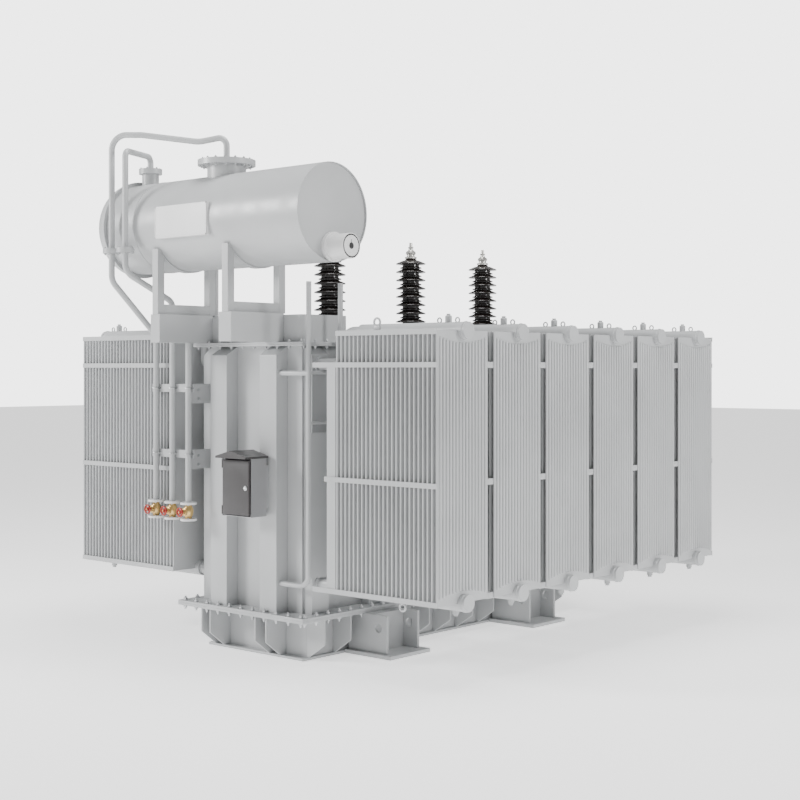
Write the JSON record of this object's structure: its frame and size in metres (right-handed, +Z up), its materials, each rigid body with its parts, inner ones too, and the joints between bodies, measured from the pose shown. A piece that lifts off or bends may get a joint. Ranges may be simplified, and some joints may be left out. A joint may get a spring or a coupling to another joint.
{
  "type": "power transformer",
  "caption": "Oil-immersed power transformer: bolted bell tank, panel radiator banks on both sides, conservator on a stand, bushings in a row, ladder and control cabinet.",
  "frame": {"origin": "centre of the tank's foot print at floor level", "axes": "+Z up; +X towards the radiator bank beside the ladder; -Y towards the end wall that carries the oil conservator"},
  "size_m": [3.739, 3.9718, 3.7557],
  "materials": {
    "paint": "satin",
    "radiator_paint": "satin",
    "brown_glaze": "gloss",
    "terminal_metal": "satin",
    "white_enamel": "satin",
    "brass": "satin",
    "red_enamel": "gloss",
    "charcoal": "satin",
    "stainless": "satin",
    "galvanised": "satin"
  },
  "bodies": {
    "tank": {"bank_side_plates": "paint", "bank_straps": "paint", "base_ribs": "paint", "bell_flange": "paint", "bell_tank": "paint", "bottom_plate": "paint", "bushing_turrets": "paint", "bushings": "brown_glaze", "cabinet_body": "stainless", "cabinet_bracket": "paint", "cabinet_canopy": "charcoal", "cabinet_hinge": "stainless", "climb_guard": "paint", "conservator_end": "paint", "conservator_head": "paint", "conservator_shell": "paint", "corner_pockets": "paint", "cover": "paint", "cover_box": "paint", "cover_rim": "paint", "drain_clamps": "paint", "drain_valves": "brass", "feet": "paint", "girders": "paint", "haulage_plates": "paint", "ladder_rails": "paint", "ladder_rungs": "paint", "left_radiators": "radiator_paint", "level_gauge": "white_enamel", "lower_flange": "paint", "lower_headers": "paint", "lower_tank": "paint", "name_panel": "white_enamel", "neck_covers": "paint", "necks": "paint", "oil_pipes": "paint", "right_radiators": "radiator_paint", "saddles": "paint", "stand_posts": "paint", "stand_ties": "paint", "stiffeners": "paint", "terminals": "terminal_metal", "upper_headers": "paint"},
    "door": {"cabinet_door": "charcoal"},
    "wheel_1": {"handwheel_1": "red_enamel"},
    "wheel_2": {"handwheel_2": "red_enamel"},
    "wheel_3": {"handwheel_3": "red_enamel"}
  },
  "joints": [
    {"name": "cabinet_door_hinge", "type": "hinge", "parent": "tank", "child": "door", "pos_m": [-0.001, -1.791, 1.2135], "axis": [0, 0, -1], "range_deg": [0, 110]},
    {"name": "valve_1_stem", "type": "hinge", "parent": "tank", "child": "wheel_1", "pos_m": [-0.815, -1.796, 1.003], "axis": [0, -1, 0], "range_deg": [0, 720]},
    {"name": "valve_2_stem", "type": "hinge", "parent": "tank", "child": "wheel_2", "pos_m": [-0.63, -1.796, 1.003], "axis": [0, -1, 0], "range_deg": [0, 720]},
    {"name": "valve_3_stem", "type": "hinge", "parent": "tank", "child": "wheel_3", "pos_m": [-0.45, -1.796, 1.003], "axis": [0, -1, 0], "range_deg": [0, 720]}
  ]
}
